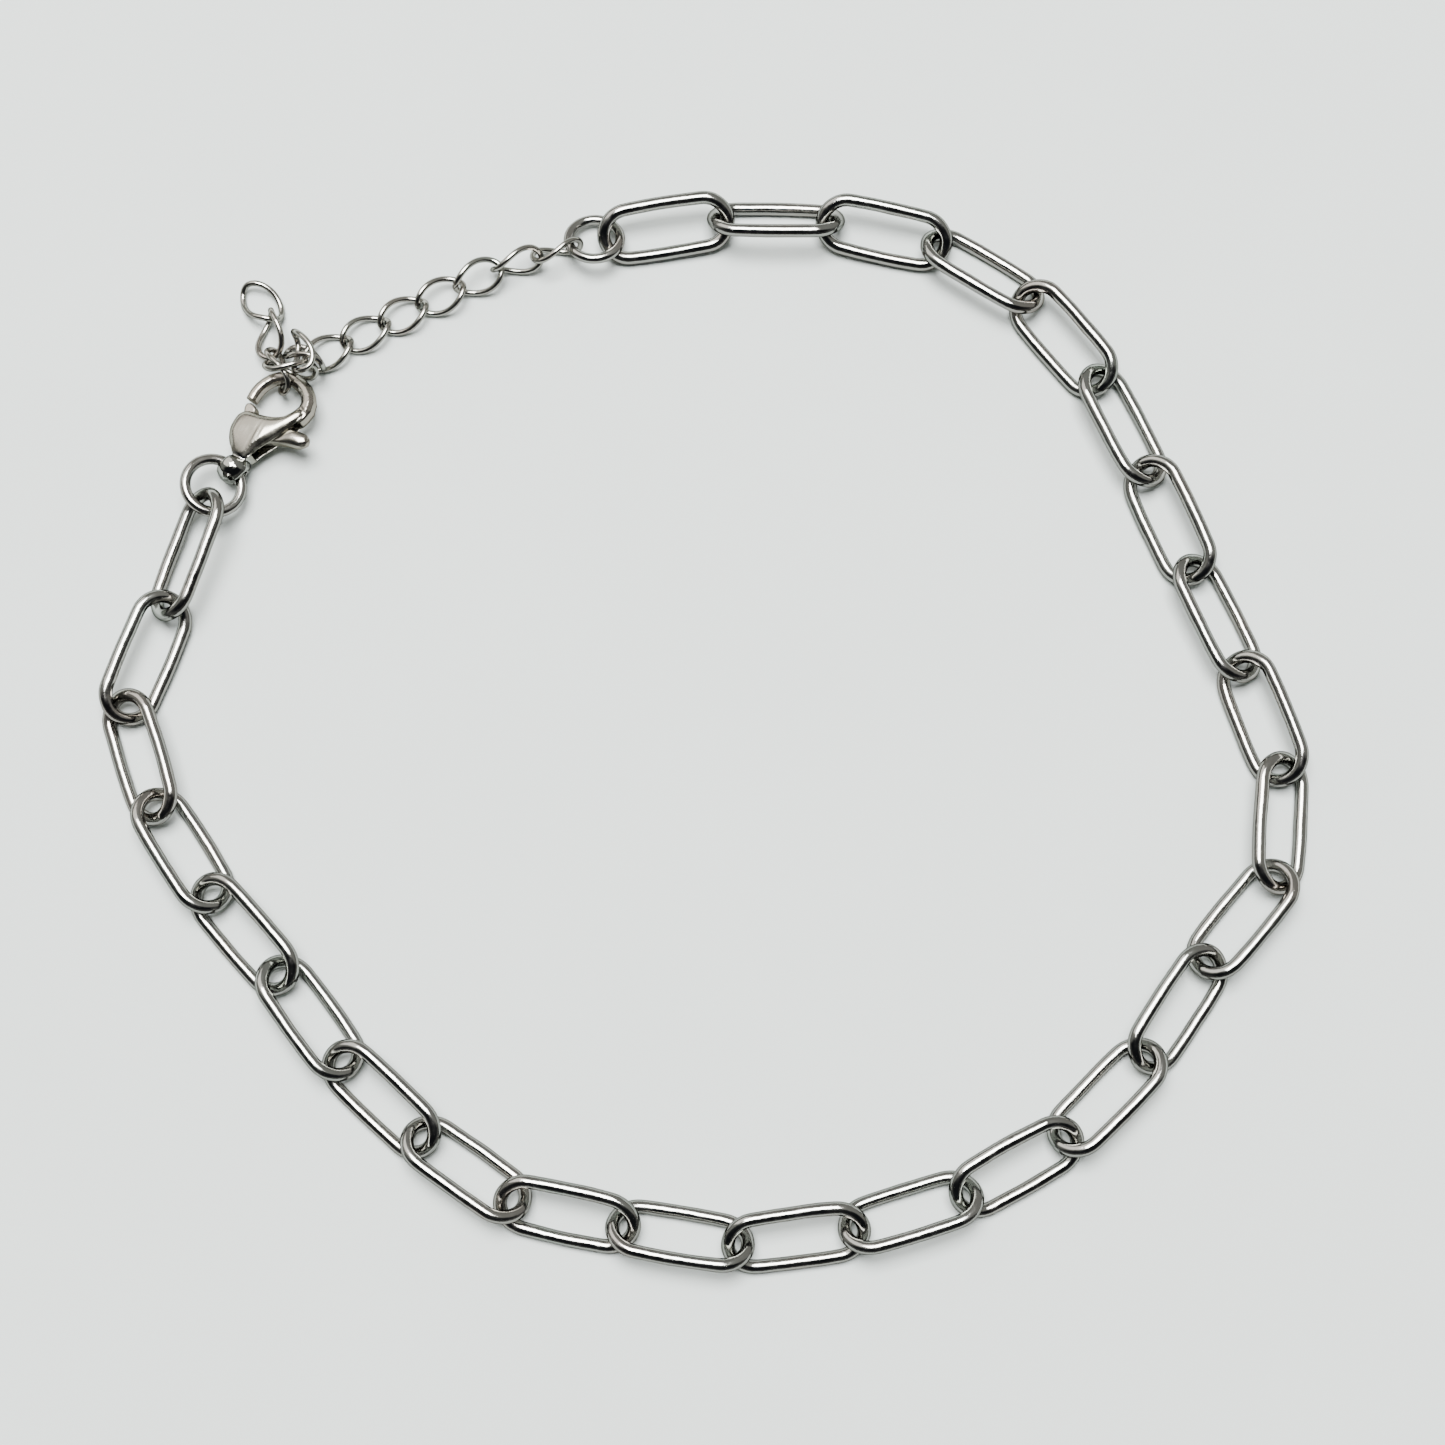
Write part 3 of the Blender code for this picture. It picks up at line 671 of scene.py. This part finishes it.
def blown_film(outline):
    """Return a grid with the height of a film blown out of the outline, from 0 to 1, and its low corner."""
    low = outline.min(axis=0) - FILM_MARGIN
    size = np.ceil((outline.max(axis=0) + FILM_MARGIN - low) / FILM_STEP).astype(int)
    columns, rows = np.meshgrid(np.arange(size[0]), np.arange(size[1]), indexing="ij")
    spots = low + FILM_STEP * np.stack((columns, rows), axis=-1).reshape(-1, 2)
    inside = inside_outline(spots, outline).reshape(size)
    film = np.zeros(size)
    for _ in range(FILM_ROUNDS):
        around = (np.roll(film, 1, 0) + np.roll(film, -1, 0) + np.roll(film, 1, 1) + np.roll(film, -1, 1)) / 4
        film = np.where(inside, around + 1, 0)
    return np.sqrt(film / film.max()), low


def film_height(film, low, places):
    """Return the film's height at some places, read between its grid points."""
    last_cell = np.array(film.shape) - 2
    at = np.clip((places - low) / FILM_STEP, 0, last_cell)
    cell = at.astype(int)
    part = at - cell
    x, y = cell[:, 0], cell[:, 1]
    near = film[x, y] * (1 - part[:, 0]) + film[x + 1, y] * part[:, 0]
    far = film[x, y + 1] * (1 - part[:, 0]) + film[x + 1, y + 1] * part[:, 0]
    return near * (1 - part[:, 1]) + far * part[:, 1]


film, film_low = blown_film(CHEEK_OUTLINE)
clasp_frame = (Matrix.Translation(CLASP_SPOT) @ Matrix.Rotation(CLASP_YAW, 4, "Z")
               @ Matrix.Rotation(-CLASP_ROLL, 4, "X"))
print("film grid:", film.shape)

# %% [markdown]
# ### Body of the clasp
# The body is one casting: two cheeks with a slot between them, the hook, and the ball that carries the jump
# ring. In the solid the cheeks are plates as thick as the casting is in its middle. Here they keep that
# thickness only where the film is highest and thin out toward their rims, from the slot's walls outwards, so
# the slot and the lever inside it stay as they are.

# %% Clasp casting
SLOT_HALF = 0.6 * MM
CHEEK_HALF = 1.4 * MM
RIM_HALF = 0.78 * MM
RIM_REACH = 0.035
RIM_STEPS = 12
ROUNDS_BEFORE, ROUNDS_AFTER = 12, 10
BALL_REACH = 1.5 * MM


def moved(points, matrix):
    """Return points moved by a matrix."""
    return points @ np.array(matrix.to_3x3()).T + np.array(matrix.translation)


clasp, points, edges = even_skin("clasp_casting", "clasp_body", SKIN_VOXEL)
points = moved(evened(points, edges, ROUNDS_BEFORE), clasp_frame.inverted())
places = points[:, :2] / CLASP_LENGTH
height = film_height(film, film_low, places)
on_cheek = np.where(inside_outline(places, CHEEK_OUTLINE), 1.0, 0.0)
legs = np.roll(CHEEK_OUTLINE, -1, axis=0) - CHEEK_OUTLINE
rim = np.concatenate([CHEEK_OUTLINE + legs * step for step in np.linspace(0, 1, RIM_STEPS, endpoint=False)])
rim_gap = np.array([np.min(np.sum((rim - place) ** 2, axis=1)) for place in places]) ** 0.5
on_cheek = np.maximum(on_cheek, np.clip(1 - rim_gap / RIM_REACH, 0, 1))
top = RIM_HALF + (CHEEK_HALF - RIM_HALF) * height
share = 1 + on_cheek * ((top - SLOT_HALF) / (CHEEK_HALF - SLOT_HALF) - 1)
side = np.sign(points[:, 2])
proud = np.abs(points[:, 2]) - SLOT_HALF
points[:, 2] = np.where(proud > 0, side * (SLOT_HALF + proud * share), points[:, 2])
points = moved(evened(points, edges, ROUNDS_AFTER), clasp_frame)
finished(clasp, points, clasp_steel)
clasp.data.materials.append(ball_steel)
for face in clasp.data.polygons:
    face.material_index = int((face.center - CLASP_SPOT).length < BALL_REACH)
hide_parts("clasp_body")
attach(clasp, "anklet")

# %% [markdown]
# ### Lever and pin
# The lever is a flat blank from gate to eye, and its thumb tab is domed so that a nail finds it. The same
# film does that too, thick in the middle and thin at the rim. The lever rides on its own body, so that it
# swings on its pin. The pin hardly shows and keeps its plain solid.

# %% Lever and pin
TAB_OUTLINE = np.array([
    (0.300, -0.150), (0.325, -0.190), (0.352, -0.290), (0.378, -0.400), (0.435, -0.450), (0.490, -0.425),
    (0.500, -0.345), (0.485, -0.220), (0.474, -0.150)])
TAB_START, TAB_FULL = -0.20, -0.31
TAB_CROWN, TAB_RIM = 1.45, 0.45
LEVER_VOXEL = 0.8 * SKIN_VOXEL

film, film_low = blown_film(TAB_OUTLINE)
lever, points, edges = even_skin("lever_casting", "clasp_lever", LEVER_VOXEL)
points = moved(evened(points, edges, ROUNDS_AFTER), clasp_frame.inverted())
places = points[:, :2] / CLASP_LENGTH
on_tab = np.clip((places[:, 1] - TAB_START) / (TAB_FULL - TAB_START), 0, 1)
swell = TAB_RIM + (TAB_CROWN - TAB_RIM) * film_height(film, film_low, places)
points[:, 2] *= 1 + on_tab * (swell - 1)
finished(lever, moved(evened(points, edges, ROUNDS_AFTER), clasp_frame), clasp_steel)
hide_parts("clasp_lever")
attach(lever, "clasp_lever")
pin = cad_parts["clasp_pin"]
for slot in pin.material_slots:
    slot.material = clasp_steel
